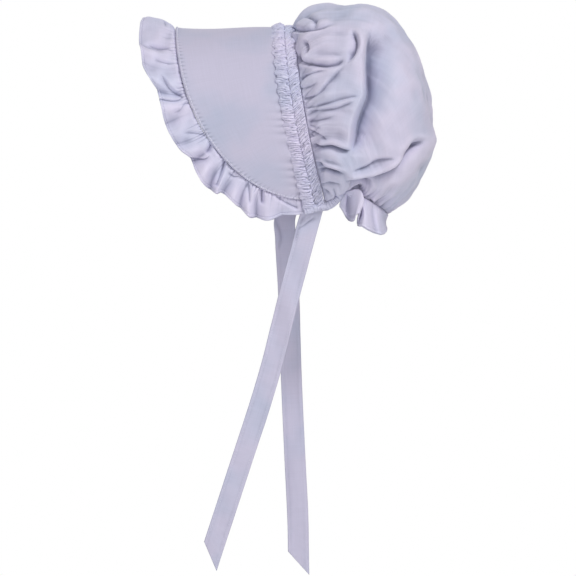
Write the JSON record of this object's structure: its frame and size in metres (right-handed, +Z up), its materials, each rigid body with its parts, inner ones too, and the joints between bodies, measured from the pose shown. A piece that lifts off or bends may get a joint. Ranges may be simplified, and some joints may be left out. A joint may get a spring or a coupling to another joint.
{
  "type": "bonnet",
  "caption": "Child's cotton bonnet with a stiff ruffled brim, a ruched band, a puffed crown gathered at the nape, and ties that hang below it.",
  "frame": {"origin": "inside of the band's top centre, on the stitch line between its two ruched columns, where the bonnet sits on the head", "axes": "+Z up, -X the way the face looks, -Y the wearer's left side, which the picture shows"},
  "size_m": [0.2944, 0.1824, 0.5732],
  "materials": {
    "brim": "matte",
    "brim_ruffle": "matte",
    "band_front": "matte",
    "band_back": "matte",
    "crown": "matte",
    "nape_casing": "matte",
    "nape_ruffle": "matte",
    "tie_left": "matte",
    "tie_right": "matte"
  },
  "bodies": {
    "root": {"brim": "brim", "brim_ruffle": "brim_ruffle", "band_front": "band_front", "band_back": "band_back", "crown": "crown", "nape_casing": "nape_casing", "nape_ruffle": "nape_ruffle", "tie_left": "tie_left", "tie_right": "tie_right"}
  },
  "joints": []
}
